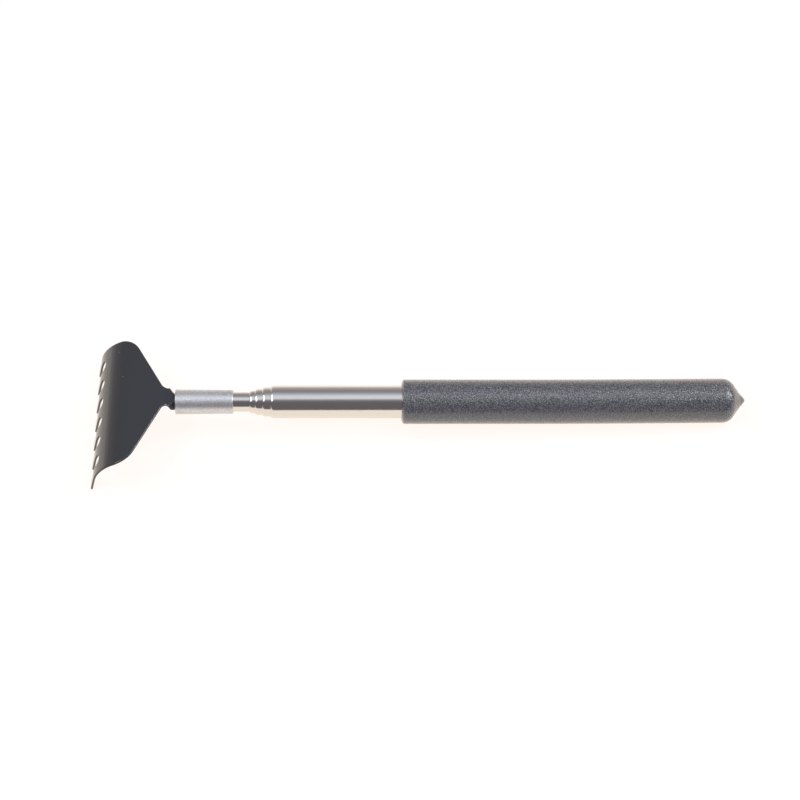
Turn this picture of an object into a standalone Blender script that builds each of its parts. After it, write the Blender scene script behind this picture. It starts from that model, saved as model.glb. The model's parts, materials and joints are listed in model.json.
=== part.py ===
"""Telescopic back scratcher: a formed sheet-steel claw on five nested tubes with a closed soft grip.

The rod frame has +Z along the tubes towards the claw, +X up and +Y across, with its origin in the mouth
of the outer tube. Every tube, bush and shell is turned about Z. The rod frame is then laid on the bench
plane z = 0, where the tool rests on the tips of its tines and on the rear of its grip.
"""

import math

import bmesh
import bpy
import numpy as np
from mathutils import Matrix, Vector

MM = 0.001
DEGREE = math.pi / 180

# Round shapes
SEGMENTS = 36
ARC_STEP = 15 * DEGREE
EDGE_STEP = 30 * DEGREE
SHARP_ANGLE = 30 * DEGREE
MERGE_DISTANCE = 0.0005 * MM
LEVEL_ANGLE = 0.01 * DEGREE

# Telescope. Tube 1 is the innermost and tube 5 the outermost.
TUBE_COUNT = 5
INNER_TUBE_RADIUS = 3.0 * MM
TUBE_RADIUS_STEP = 0.5 * MM
TUBE_WALL = 0.3 * MM
OUTER_TUBE_LENGTH = 132.0 * MM
MOUTH_STEPS = {4: 2.45 * MM, 3: 2.4 * MM, 2: 1.85 * MM}
LIP_LENGTH = 0.9 * MM
LIP_TAPER = 0.15 * MM

# Clearances
SLIDE_CLEARANCE = 0.05 * MM
PRESS_CLEARANCE = 0.03 * MM
SEAT_GAP = 0.3 * MM
PARK_GAP = 0.4 * MM
STOP_MARGIN = 0.3 * MM

# Tail of each sliding tube: a turned bush that carries two friction shells in its groove
BUSH_SPIGOT_LENGTH = 3.0 * MM
BUSH_GROOVE_LENGTH = 5.0 * MM
BUSH_GROOVE_DEPTH = 0.6 * MM
BUSH_FLANGE_LENGTH = 1.0 * MM
BUSH_CHAMFER = 0.2 * MM
SHELL_SPLIT = 0.4 * MM

# Plug in the rear of the outer tube
PLUG_SPIGOT_LENGTH = 4.0 * MM
PLUG_FLANGE_LENGTH = 1.2 * MM
PLUG_CHAMFER = 0.3 * MM

# Grip sleeve
GRIP_START = 39.4 * MM
GRIP_WALL = 1.75 * MM
GRIP_FRONT_ROUNDING = 0.5 * MM
GRIP_END_WALL = 9.7 * MM
GRIP_SHOULDER_RADIUS = 5.0 * MM
GRIP_CONE_ANGLE = 53 * DEGREE
GRIP_TIP_RADIUS = 0.8 * MM

# Ferrule between the inner tube and the claw's tang
FERRULE_OFFSET = 4.9 * MM
FERRULE_TUBE_DEPTH = 9.0 * MM
FERRULE_TANG_DEPTH = 8.3 * MM
FERRULE_WALL = 0.55 * MM
FERRULE_FLARE = 0.12 * MM
FERRULE_EDGE = 0.2 * MM

# Claw, blanked from sheet and then formed
SHEET = 0.7 * MM
TANG_STEP = 0.8 * MM
TANG_WRAP = 135 * DEGREE
TANG_CORNER = 0.8 * MM
NECK_HALF_WIDTH = 3.15 * MM
NECK_LENGTH = 2.4 * MM
NECK_FILLET = 2.0 * MM
FLANK_ANGLE = 62 * DEGREE
CORNER_RADIUS = 7.2 * MM
TINE_COUNT = 7
TINE_WIDTH = 3.8 * MM
SLOT_WIDTH = 3.05 * MM
SLOT_LENGTH = 10.0 * MM
TINE_CORNER = 0.8 * MM

# Side view of the formed claw: angles are below the rod's direction, lengths run along the sheet
JOGGLE_START = 0.2 * MM
JOGGLE_ANGLE = -18 * DEGREE
JOGGLE_INNER_RADIUS = 2.0 * MM
JOGGLE_RUN = 2.1 * MM
JOGGLE_OUTER_RADIUS = 3.0 * MM
PLATE_ANGLE = 9.5 * DEGREE
PLATE_LENGTH = 9.2 * MM
BEND_RADIUS = 13.0 * MM
TINE_ANGLE = 78 * DEGREE
TINE_STRAIGHT = 5.3 * MM
FORMING_STEP = 6 * DEGREE
ROLL_STEP = 0.62 * MM
TRANSITION_STEPS = 4

TUBE_NAMES = {1: "inner_tube", 2: "second_tube", 3: "third_tube", 4: "fourth_tube", 5: "outer_tube"}


# Sizes that follow from the ones above


def tube_radius(level):
    return INNER_TUBE_RADIUS + (level - 1) * TUBE_RADIUS_STEP


def tube_bore(level):
    return tube_radius(level) - TUBE_WALL


def mouth_z(level):
    """Place of a tube's mouth in the rod frame."""
    return sum(step for inner, step in MOUTH_STEPS.items() if inner >= level)


def bush_length_behind():
    """How far a tail bush reaches behind the rear end of its tube."""
    return BUSH_GROOVE_LENGTH + BUSH_FLANGE_LENGTH


def tube_rear_z(level):
    """Place of a tube's rear end: each tail parks just ahead of the next larger tube's own tail."""
    if level == TUBE_COUNT:
        return -OUTER_TUBE_LENGTH
    spigot = PLUG_SPIGOT_LENGTH if level == TUBE_COUNT - 1 else BUSH_SPIGOT_LENGTH
    return tube_rear_z(level + 1) + spigot + PARK_GAP + bush_length_behind()


def ferrule_rear_z():
    return mouth_z(2) + FERRULE_OFFSET


def ferrule_front_z():
    return ferrule_rear_z() + FERRULE_TUBE_DEPTH + FERRULE_TANG_DEPTH


def inner_tube_front_z():
    return ferrule_rear_z() + FERRULE_TUBE_DEPTH - SEAT_GAP


def stroke(level):
    """Travel of a sliding tube before its shells meet the lip of the tube around it."""
    shell_front = tube_rear_z(level) - SEAT_GAP
    lip_rear = mouth_z(level + 1) - LIP_LENGTH - LIP_TAPER
    return lip_rear - shell_front - STOP_MARGIN


def tang_radius():
    """Outer radius of the rolled tang."""
    return INNER_TUBE_RADIUS - TANG_STEP


def roll_radius():
    """Radius of the tang's sheet at its middle."""
    return tang_radius() - SHEET / 2


def tang_half_width():
    return TANG_WRAP * roll_radius()


def tang_length():
    return FERRULE_TANG_DEPTH - SEAT_GAP


def claw_half_width():
    return (TINE_COUNT * TINE_WIDTH + (TINE_COUNT - 1) * SLOT_WIDTH) / 2


# Scene and materials


def clear_scene():
    for thing in list(bpy.data.objects):
        bpy.data.objects.remove(thing, do_unlink=True)


def new_collection(name):
    collection = bpy.data.collections.new(name)
    bpy.context.scene.collection.children.link(collection)
    return collection


def make_material(name, colour, roughness, metallic):
    material = bpy.data.materials.new(name)
    material.use_nodes = True
    shader = material.node_tree.nodes["Principled BSDF"]
    shader.inputs["Base Color"].default_value = (*colour, 1.0)
    shader.inputs["Roughness"].default_value = roughness
    shader.inputs["Metallic"].default_value = metallic
    material.diffuse_color = (*colour, 1.0)
    return material


def finish_mesh(mesh, material):
    mesh.materials.clear()
    mesh.materials.append(material)
    mesh.shade_smooth()
    mesh.set_sharp_from_angle(angle=SHARP_ANGLE)
    return mesh


def add_object(name, mesh, parent, z=0.0):
    """Puts a mesh in the parts' collection, with its origin on the rod's axis at height z of its parent."""
    thing = bpy.data.objects.new(name, mesh)
    thing.parent = parent
    thing.location = (0, 0, z)
    PARTS.objects.link(thing)
    return thing


def add_empty(name, parent=None, z=0.0):
    empty = bpy.data.objects.new(name, None)
    empty.parent = parent
    empty.location = (0, 0, z)
    PARTS.objects.link(empty)
    return empty


def evaluated_mesh(thing):
    bpy.context.view_layer.update()
    graph = bpy.context.evaluated_depsgraph_get()
    return bpy.data.meshes.new_from_object(thing.evaluated_get(graph))


# Turned shapes


def arc(centre, radius, start, end, step=ARC_STEP):
    """Points (r, z) on an arc from one angle to another, both included, measured from +r towards +z."""
    count = max(2, math.ceil(abs(end - start) / step))
    angles = [start + (end - start) * i / count for i in range(count + 1)]
    return [(centre[0] + radius * math.cos(a), centre[1] + radius * math.sin(a)) for a in angles]


def turned_mesh(name, profile, closed):
    """Turns a profile of points (r, z) about Z. It runs down the outer side, and a closed one is a ring."""
    outline = bpy.data.meshes.new(name)
    points = [(r, 0, z) for r, z in profile]
    edges = [(i, i + 1) for i in range(len(points) - 1)]
    if closed:
        edges.append((len(points) - 1, 0))
    outline.from_pydata(points, edges, [])
    thing = bpy.data.objects.new(name, outline)
    bpy.context.scene.collection.objects.link(thing)
    screw = thing.modifiers.new("Turn", "SCREW")
    screw.axis = "Z"
    screw.steps = SEGMENTS
    screw.render_steps = SEGMENTS
    screw.use_merge_vertices = True
    screw.merge_threshold = MERGE_DISTANCE
    mesh = evaluated_mesh(thing)
    mesh.name = name
    bpy.data.objects.remove(thing, do_unlink=True)
    bpy.data.meshes.remove(outline)
    return mesh


def turned(name, profile, material, parent, z=0.0, closed=False):
    mesh = finish_mesh(turned_mesh(name, profile, closed), material)
    return add_object(name, mesh, parent, z)


# Telescope


def lipped_tube_profile(level):
    """A tube from its mouth at z = 0 down to its rear end, its mouth rolled in round the next tube."""
    outer = tube_radius(level)
    bore = tube_bore(level)
    opening = tube_radius(level - 1) + SLIDE_CLEARANCE
    length = mouth_z(level) - tube_rear_z(level)
    roll = outer - opening
    rounded = arc((opening, -roll), roll, math.pi / 2, 0, EDGE_STEP)
    rear = [(outer, -length), (bore, -length)]
    lip = [(bore, -LIP_LENGTH - LIP_TAPER), (opening, -LIP_LENGTH)]
    return rounded + rear + lip


def plain_tube_profile(outer, bore, length):
    return [(outer, 0), (outer, -length), (bore, -length), (bore, 0)]


def bush_profile(level):
    """A tail bush, from its spigot in the tube's bore to its rear flange. z = 0 is the tube's rear end."""
    spigot = tube_bore(level) - PRESS_CLEARANCE
    groove = tube_bore(level) - BUSH_GROOVE_DEPTH
    flange = tube_radius(level)
    groove_end = -BUSH_GROOVE_LENGTH
    flange_end = groove_end - BUSH_FLANGE_LENGTH
    return [
        (0, BUSH_SPIGOT_LENGTH),
        (spigot - BUSH_CHAMFER, BUSH_SPIGOT_LENGTH),
        (spigot, BUSH_SPIGOT_LENGTH - BUSH_CHAMFER),
        (spigot, 0),
        (groove, 0),
        (groove, groove_end),
        (flange, groove_end),
        (flange, flange_end + BUSH_CHAMFER),
        (flange - BUSH_CHAMFER, flange_end),
        (0, flange_end),
    ]


def shell_mesh(name, level, side, material):
    """Half of the ring that fills a bush's groove and rubs on the bore of the tube around it."""
    inner = tube_bore(level) - BUSH_GROOVE_DEPTH + SLIDE_CLEARANCE
    outer = tube_bore(level + 1) - SLIDE_CLEARANCE
    length = BUSH_GROOVE_LENGTH - 2 * SEAT_GAP
    mesh = turned_mesh(name, plain_tube_profile(outer, inner, length), closed=True)
    shape = bmesh.new()
    shape.from_mesh(mesh)
    cut = bmesh.ops.bisect_plane(
        shape,
        geom=shape.verts[:] + shape.edges[:] + shape.faces[:],
        plane_co=(side * SHELL_SPLIT / 2, 0, 0),
        plane_no=(side, 0, 0),
        clear_inner=True,
    )
    rim = [e for e in cut["geom_cut"] if isinstance(e, bmesh.types.BMEdge)]
    bmesh.ops.edgenet_fill(shape, edges=rim)
    bmesh.ops.recalc_face_normals(shape, faces=shape.faces[:])
    shape.to_mesh(mesh)
    shape.free()
    return finish_mesh(mesh, material)


def build_stage(level, carrier, steel, brass, bronze):
    """One sliding tube with its tail bush and shells, on an empty that sits in the tube's mouth."""
    stage = add_empty(f"stage_{level}", carrier, mouth_z(level) - mouth_z(level + 1))
    rear = tube_rear_z(level) - mouth_z(level)
    turned(f"tail_bush_{level}", bush_profile(level), brass, stage, rear)
    for side, word in ((1, "upper"), (-1, "lower")):
        name = f"friction_shell_{level}_{word}"
        add_object(name, shell_mesh(name, level, side, bronze), stage, rear - SEAT_GAP)
    if level > 1:
        turned(TUBE_NAMES[level], lipped_tube_profile(level), steel, stage, closed=True)
    return stage


def build_handle(rod, steel, rubber, plastic):
    """The outer tube with its plug and the grip sleeve that closes over both."""
    turned(TUBE_NAMES[TUBE_COUNT], lipped_tube_profile(TUBE_COUNT), steel, rod, closed=True)
    radius = tube_radius(TUBE_COUNT)
    spigot = tube_bore(TUBE_COUNT) - PRESS_CLEARANCE
    rear = -PLUG_FLANGE_LENGTH
    plug = [
        (0, PLUG_SPIGOT_LENGTH),
        (spigot - PLUG_CHAMFER, PLUG_SPIGOT_LENGTH),
        (spigot, PLUG_SPIGOT_LENGTH - PLUG_CHAMFER),
        (spigot, -PRESS_CLEARANCE),
        (radius, -PRESS_CLEARANCE),
        (radius, rear),
        (0, rear),
    ]
    turned("end_plug", plug, plastic, rod, tube_rear_z(TUBE_COUNT))
    return turned("grip", grip_profile(), rubber, rod, -GRIP_START)


def grip_profile():
    """The sleeve from the end of its bore up to its open front at z = 0, then down to its pointed rear."""
    bore = tube_radius(TUBE_COUNT) + SLIDE_CLEARANCE
    outer = bore + GRIP_WALL
    bore_end = GRIP_START - OUTER_TUBE_LENGTH - PLUG_FLANGE_LENGTH - SEAT_GAP
    tip = bore_end - GRIP_END_WALL
    rounding = GRIP_FRONT_ROUNDING
    edge = arc((outer - rounding, -rounding), rounding, math.pi / 2, 0, EDGE_STEP)
    cone = GRIP_CONE_ANGLE
    # The shoulder and the rounded point share the cone as their tangent.
    shoulder_r = outer - GRIP_SHOULDER_RADIUS
    drop = shoulder_r * math.cos(cone) + GRIP_SHOULDER_RADIUS - GRIP_TIP_RADIUS
    point_z = tip + GRIP_TIP_RADIUS
    shoulder = arc((shoulder_r, point_z + drop / math.sin(cone)), GRIP_SHOULDER_RADIUS, 0, -cone)
    point = arc((0, point_z), GRIP_TIP_RADIUS, -cone, -math.pi / 2, EDGE_STEP)
    return [(0, bore_end), (bore, bore_end), (bore, 0)] + edge + shoulder + point


# Claw


def blank_outline():
    """The flat blank as points (u, v): u runs from the ferrule's mouth to the tips, v runs across."""
    side = flank_and_tang()
    return tines_and_slots() + side + [(u, -v) for u, v in reversed(side)]


def tines_and_slots():
    """The tines' ends and the slots between them, from the far side at v < 0 to the near one."""
    tip = path_length() - tang_length()
    corner_u = tip - TINE_CORNER
    root_u = tip - SLOT_LENGTH + SLOT_WIDTH / 2
    points = []
    for tine in range(TINE_COUNT):
        low = tine * (TINE_WIDTH + SLOT_WIDTH) - claw_half_width()
        high = low + TINE_WIDTH
        points += arc((corner_u, low + TINE_CORNER), TINE_CORNER, -90 * DEGREE, 0)
        points += arc((corner_u, high - TINE_CORNER), TINE_CORNER, 0, 90 * DEGREE)
        if tine < TINE_COUNT - 1:
            points += arc((root_u, high + SLOT_WIDTH / 2), SLOT_WIDTH / 2, 270 * DEGREE, 90 * DEGREE)
    return points


def flank_and_tang():
    """The rounded corner beside the last tine, the slanting flank, the neck and the tang."""
    half = claw_half_width()
    turn = math.tan(FLANK_ANGLE / 2)
    neck_u = NECK_LENGTH + NECK_FILLET * turn
    corner_u = neck_u + (half - NECK_HALF_WIDTH) / math.tan(FLANK_ANGLE)
    corner = (corner_u + CORNER_RADIUS * turn, half - CORNER_RADIUS)
    neck = (NECK_LENGTH, NECK_HALF_WIDTH + NECK_FILLET)
    tang = (TANG_CORNER - tang_length(), tang_half_width() - TANG_CORNER)
    return [
        *arc(corner, CORNER_RADIUS, 90 * DEGREE, 90 * DEGREE + FLANK_ANGLE),
        *arc(neck, NECK_FILLET, FLANK_ANGLE - 90 * DEGREE, -90 * DEGREE),
        (0, tang_half_width()),
        *arc(tang, TANG_CORNER, 90 * DEGREE, 180 * DEGREE),
    ]


def forming_path():
    """The side view as stretches (length, start angle, end angle), from the tang's end to the tips."""
    return [
        (tang_length() + JOGGLE_START, 0, 0),
        (JOGGLE_INNER_RADIUS * abs(JOGGLE_ANGLE), 0, JOGGLE_ANGLE),
        (JOGGLE_RUN, JOGGLE_ANGLE, JOGGLE_ANGLE),
        (JOGGLE_OUTER_RADIUS * (PLATE_ANGLE - JOGGLE_ANGLE), JOGGLE_ANGLE, PLATE_ANGLE),
        (PLATE_LENGTH, PLATE_ANGLE, PLATE_ANGLE),
        (BEND_RADIUS * (TINE_ANGLE - PLATE_ANGLE), PLATE_ANGLE, TINE_ANGLE),
        (TINE_STRAIGHT, TINE_ANGLE, TINE_ANGLE),
    ]


def path_length():
    return sum(length for length, _, _ in forming_path())


def forming_stations():
    """Places along the blank where it is divided so that it can bend."""
    stations = []
    start = -tang_length()
    for length, first, last in forming_path():
        count = max(1, round(abs(last - first) / FORMING_STEP))
        stations += [start + length * i / count for i in range(count)]
        start += length
    stations += [NECK_LENGTH * i / TRANSITION_STEPS for i in range(TRANSITION_STEPS + 1)]
    return sorted(s for s in set(stations) if s > -tang_length())


def path_point(u):
    """Place (z, x) of the sheet's middle at u in the side view, and the angle there."""
    z = 0.0
    x = roll_radius()
    left = u + tang_length()
    for length, first, last in forming_path():
        run = min(left, length)
        turn = (last - first) * run / length
        if turn:
            radius = length / (last - first)
            z += radius * (math.sin(first + turn) - math.sin(first))
            x += radius * (math.cos(first + turn) - math.cos(first))
        else:
            z += run * math.cos(first)
            x -= run * math.sin(first)
        left -= run
        if left <= 0:
            return z, x, first + turn
    return z + left * math.cos(last), x - left * math.sin(last), last


def flat_half_width(u):
    """Half the width that stays flat at u: the crease runs from the neck's edge to the tang's crest."""
    if u >= NECK_LENGTH:
        return math.inf
    return max(0.0, u * NECK_HALF_WIDTH / NECK_LENGTH)


def formed(point):
    """Moves a point (u, v, t) of the blank to the formed claw, t being its height above mid-sheet."""
    u, v, t = point
    z, x, angle = path_point(u)
    flat = min(abs(v), flat_half_width(u))
    roll = (abs(v) - flat) / roll_radius()
    across = flat + (roll_radius() + t) * math.sin(roll)
    rise = (roll_radius() + t) * math.cos(roll) - roll_radius()
    return Vector(
        (
            x + rise * math.cos(angle),
            math.copysign(across, v),
            z + rise * math.sin(angle) - tang_length(),
        )
    )


def blank_mesh():
    """The blank as a filled 2D curve, turned into a mesh whose two sides are single faces."""
    curve = bpy.data.curves.new("claw_blank", "CURVE")
    curve.dimensions = "2D"
    curve.fill_mode = "BOTH"
    curve.extrude = SHEET / 2
    outline = blank_outline()
    spline = curve.splines.new("POLY")
    spline.points.add(len(outline) - 1)
    for target, (u, v) in zip(spline.points, outline):
        target.co = (u, v, 0, 1)
    spline.use_cyclic_u = True
    thing = bpy.data.objects.new("claw_blank", curve)
    bpy.context.scene.collection.objects.link(thing)
    mesh = evaluated_mesh(thing)
    bpy.data.objects.remove(thing, do_unlink=True)
    bpy.data.curves.remove(curve)
    return mesh


def divide(shape, faces, point, normal):
    """Divides these faces and their edges along a plane."""
    edges = {e for f in faces for e in f.edges}
    verts = {v for f in faces for v in f.verts}
    bmesh.ops.bisect_plane(
        shape, geom=[*verts, *edges, *faces], plane_co=point, plane_no=normal, dist=MERGE_DISTANCE
    )


def tang_faces(shape):
    return [f for f in shape.faces if f.calc_center_median().x < NECK_LENGTH]


def build_claw(parent, paint):
    mesh = blank_mesh()
    shape = bmesh.new()
    shape.from_mesh(mesh)
    bmesh.ops.remove_doubles(shape, verts=shape.verts[:], dist=MERGE_DISTANCE)
    bmesh.ops.dissolve_limit(
        shape, angle_limit=LEVEL_ANGLE, verts=[], edges=shape.edges[:], delimit={"NORMAL"}
    )
    for station in forming_stations():
        divide(shape, shape.faces[:], (station, 0, 0), (1, 0, 0))
    count = math.floor(tang_half_width() / ROLL_STEP)
    for i in range(-count, count + 1):
        divide(shape, tang_faces(shape), (0, i * ROLL_STEP, 0), (0, 1, 0))
    for side in (1, -1):
        divide(shape, tang_faces(shape), (0, 0, 0), (NECK_HALF_WIDTH, -side * NECK_LENGTH, 0))
    for vert in shape.verts:
        vert.co = formed(vert.co)
    # Forming swaps the blank's axes, which turns its faces inwards.
    bmesh.ops.reverse_faces(shape, faces=shape.faces[:])
    shape.to_mesh(mesh)
    shape.free()
    return add_object("claw", finish_mesh(mesh, paint), parent, ferrule_front_z() - mouth_z(1))


def build_head(stage, steel, alloy, paint):
    """What the innermost stage carries: the inner tube, the ferrule and the claw."""
    origin = mouth_z(1)
    front = inner_tube_front_z()
    length = front - tube_rear_z(1)
    tube = plain_tube_profile(tube_radius(1), tube_bore(1), length)
    turned(TUBE_NAMES[1], tube, steel, stage, front - origin, closed=True)
    turned("ferrule", ferrule_profile(), alloy, stage, ferrule_front_z() - origin, closed=True)
    return build_claw(stage, paint)


def ferrule_profile():
    """The sleeve from the tang's end at z = 0, with a wider bore for the tube behind a seat."""
    rear_outer = INNER_TUBE_RADIUS + SLIDE_CLEARANCE + FERRULE_WALL
    front_outer = rear_outer + FERRULE_FLARE
    tang_bore = tang_radius() + SLIDE_CLEARANCE
    tube_seat = INNER_TUBE_RADIUS + SLIDE_CLEARANCE
    length = FERRULE_TANG_DEPTH + FERRULE_TUBE_DEPTH
    edge = FERRULE_EDGE
    front = arc((front_outer - edge, -edge), edge, math.pi / 2, 0, EDGE_STEP)
    rear = arc((rear_outer - edge, edge - length), edge, 0, -math.pi / 2, EDGE_STEP)
    inside = [
        (tube_seat, -length),
        (tube_seat, -FERRULE_TANG_DEPTH),
        (tang_bore, -FERRULE_TANG_DEPTH),
        (tang_bore, 0),
    ]
    return front + rear + inside


# Laying the tool on the bench


def rod_points(thing, rod):
    """The object's points in the rod frame."""
    bpy.context.view_layer.update()
    to_rod = rod.matrix_world.inverted() @ thing.matrix_world
    return np.array([to_rod @ v.co for v in thing.data.vertices])


def rod_matrix(tilt):
    """The rod frame's turn: +Z to the claw along -X, raised by the tilt, and +X up."""
    up = Vector((math.sin(tilt), 0, math.cos(tilt)))
    ahead = Vector((-math.cos(tilt), 0, math.sin(tilt)))
    return Matrix((up, Vector((0, 1, 0)), ahead)).transposed().to_4x4()


def lay_on_bench(rod, claw, grip):
    """Tilts the rod until claw and grip touch z = 0 together, and centres the tool over the origin."""
    rod.matrix_world = Matrix.Identity(4)
    claw_points = rod_points(claw, rod)
    grip_points = rod_points(grip, rod)
    low, high = 0.0, math.pi / 4
    for _ in range(50):
        tilt = (low + high) / 2
        height = np.array([math.cos(tilt), 0, math.sin(tilt)])
        if (claw_points @ height).min() < (grip_points @ height).min():
            low = tilt
        else:
            high = tilt
    turn = rod_matrix(tilt)
    laid = np.vstack((claw_points, grip_points)) @ np.array(turn.to_3x3()).T
    smallest, largest = laid.min(axis=0), laid.max(axis=0)
    place = Vector((-(smallest[0] + largest[0]) / 2, 0, -smallest[2]))
    rod.matrix_world = Matrix.Translation(place) @ turn


def main():
    steel = make_material("polished_steel", (0.62, 0.60, 0.58), 0.15, 1.0)
    alloy = make_material("frosted_aluminium", (0.72, 0.72, 0.73), 0.55, 1.0)
    paint = make_material("black_paint", (0.05, 0.05, 0.055), 0.35, 0.0)
    rubber = make_material("grained_rubber", (0.10, 0.10, 0.11), 0.7, 0.0)
    brass = make_material("brass", (0.72, 0.55, 0.25), 0.3, 1.0)
    bronze = make_material("bronze", (0.65, 0.42, 0.25), 0.35, 1.0)
    plastic = make_material("plug_plastic", (0.08, 0.08, 0.08), 0.5, 0.0)

    rod = add_empty("rod")
    grip = build_handle(rod, steel, rubber, plastic)
    stage = rod
    for level in range(TUBE_COUNT - 1, 0, -1):
        stage = build_stage(level, stage, steel, brass, bronze)
    claw = build_head(stage, steel, alloy, paint)
    lay_on_bench(rod, claw, grip)


clear_scene()
PARTS = new_collection("back_scratcher")

if __name__ == "__main__":
    main()
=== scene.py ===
"""Looks of a telescopic back scratcher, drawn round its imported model.

Lengths are in metres, in the model's own frame, unless a name ends in mm. The turned pieces and the
claw are drawn in the rod frame: +Z runs along the tubes towards the claw, +X is up and +Y is across,
and the origin is in the mouth of the outer tube. They are then laid where the model has them.
"""

import json
import logging
import math
from collections.abc import Iterator
from dataclasses import dataclass, field
from enum import Enum

import bmesh
import bpy
from mathutils import Matrix, Vector, noise


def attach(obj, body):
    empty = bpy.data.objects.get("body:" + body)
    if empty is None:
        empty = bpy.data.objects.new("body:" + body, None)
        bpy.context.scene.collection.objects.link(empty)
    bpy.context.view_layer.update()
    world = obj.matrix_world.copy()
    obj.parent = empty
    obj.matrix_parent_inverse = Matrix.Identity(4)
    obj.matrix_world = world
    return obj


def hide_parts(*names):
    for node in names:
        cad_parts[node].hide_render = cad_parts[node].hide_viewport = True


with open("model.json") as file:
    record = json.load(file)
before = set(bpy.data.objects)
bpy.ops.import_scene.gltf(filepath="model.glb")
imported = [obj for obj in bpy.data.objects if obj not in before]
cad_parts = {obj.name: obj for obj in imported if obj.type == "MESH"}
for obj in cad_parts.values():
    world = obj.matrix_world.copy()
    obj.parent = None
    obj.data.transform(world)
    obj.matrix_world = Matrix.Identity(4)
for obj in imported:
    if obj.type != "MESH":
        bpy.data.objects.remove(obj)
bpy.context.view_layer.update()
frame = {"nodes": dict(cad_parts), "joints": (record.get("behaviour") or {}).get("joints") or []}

MM = 0.001
DEGREE = math.pi / 180
FULL_TURN = 2 * math.pi
WELD = 0.001 * MM
# Edges of turned metal that are sharper than this stay crisp.
CRISP_EDGE = 40 * DEGREE

Triple = tuple[float, float, float]
Shape = bmesh.types.BMesh
Node = bpy.types.Node
NodeTree = bpy.types.NodeTree
Object = bpy.types.Object
Socket = bpy.types.NodeSocket

log = logging.getLogger("back_scratcher")


# Node and colour helpers


def linear(hex_colour: str) -> tuple[float, float, float, float]:
    """Turns an sRGB hex colour into linear light.

    Args:
        hex_colour: six hex digits, such as "8A8C90".

    Returns:
        Red, green, blue and an alpha of 1.
    """
    channels = [int(hex_colour[i : i + 2], 16) / 255 for i in (0, 2, 4)]
    red, green, blue = (c / 12.92 if c <= 0.04045 else ((c + 0.055) / 1.055) ** 2.4 for c in channels)
    return red, green, blue, 1.0


def feed(tree: NodeTree, node: Node, inputs: dict[str | int, object]) -> None:
    """Feeds the inputs of a node.

    Args:
        tree: the node's tree.
        node: the node.
        inputs: what each input gets, by its name or number: a value, a socket, or a node, which
            stands for the first of its outputs that is in use.
    """
    for key, value in inputs.items():
        if isinstance(value, Node):
            value = next(socket for socket in value.outputs if socket.enabled)
        if isinstance(value, Socket):
            tree.links.new(value, node.inputs[key])
        else:
            node.inputs[key].default_value = value


def add_node(tree: NodeTree, kind: str, inputs: dict[str | int, object], **settings: object) -> Node:
    """Adds a node, gives it its settings and feeds its inputs.

    Args:
        tree: the node tree that gets the node.
        kind: the node's type, without the "ShaderNode" that it starts with.
        inputs: what its inputs get, as feed takes it.
        **settings: the node's own properties.

    Returns:
        The new node.
    """
    node = tree.nodes.new(f"ShaderNode{kind}")
    for name, value in settings.items():
        setattr(node, name, value)
    feed(tree, node, inputs)
    return node


def pick_by_ray(tree: NodeTree, to_light: object, in_gloss: object, seen: object) -> Node:
    """Picks a colour by the kind of ray that meets it.

    Args:
        tree: the node tree that does the picking.
        to_light: the colour that soft light meets, as a value or a node.
        in_gloss: the colour that gloss shows.
        seen: the colour that the camera sees.

    Returns:
        The node that gives the picked colour.
    """
    rays = add_node(tree, "LightPath", {})
    picked = to_light
    for ray, colour in (("Is Glossy Ray", in_gloss), ("Is Camera Ray", seen)):
        mixed = {"Factor": rays.outputs[ray], "A": picked, "B": colour}
        picked = add_node(tree, "Mix", mixed, data_type="RGBA")
    return picked


def set_stops(ramp: bpy.types.ColorRamp, stops: list[tuple[float, tuple[float, ...]]]) -> None:
    """Gives a colour ramp its stops.

    Args:
        ramp: the ramp to fill.
        stops: each stop's place from 0 to 1 and its colour, in rising order.
    """
    while len(ramp.elements) < len(stops):
        ramp.elements.new(1.0)
    for element, (place, colour) in zip(ramp.elements, stops):
        element.position = place
        element.color = colour


# Finishes


@dataclass(frozen=True)
class Finish:
    """A surface finish that every piece of one material shares."""

    name: str
    colour: str
    roughness: float
    metallic: float = 0.0
    ior: float = 1.5

    def material(self) -> bpy.types.Material:
        """Builds the finish's material the first time it is asked for.

        Returns:
            The material.
        """
        known = bpy.data.materials.get(self.name)
        if known:
            return known
        material = bpy.data.materials.new(self.name)
        material.use_nodes = True
        tree = material.node_tree
        shader = tree.nodes["Principled BSDF"]
        material.diffuse_color = linear(self.colour)
        feed(tree, shader, {"Base Color": linear(self.colour), "Roughness": self.roughness})
        feed(tree, shader, {"Metallic": self.metallic, "IOR": self.ior})
        place = add_node(tree, "TexCoord", {})
        self.dress(tree, shader, place.outputs["Object"])
        return material

    def around(self, spread: float) -> dict[str, float]:
        """Returns the limits of a roughness that varies by so much to either side."""
        return {"To Min": self.roughness - spread, "To Max": self.roughness + spread}

    def dress(self, tree: NodeTree, shader: Node, place: Socket) -> None:
        """Adds the finish's own pattern; the plain finish has none.

        Args:
            tree: the material's node tree.
            shader: its Principled shader.
            place: the piece's Object coordinates.
        """


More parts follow.
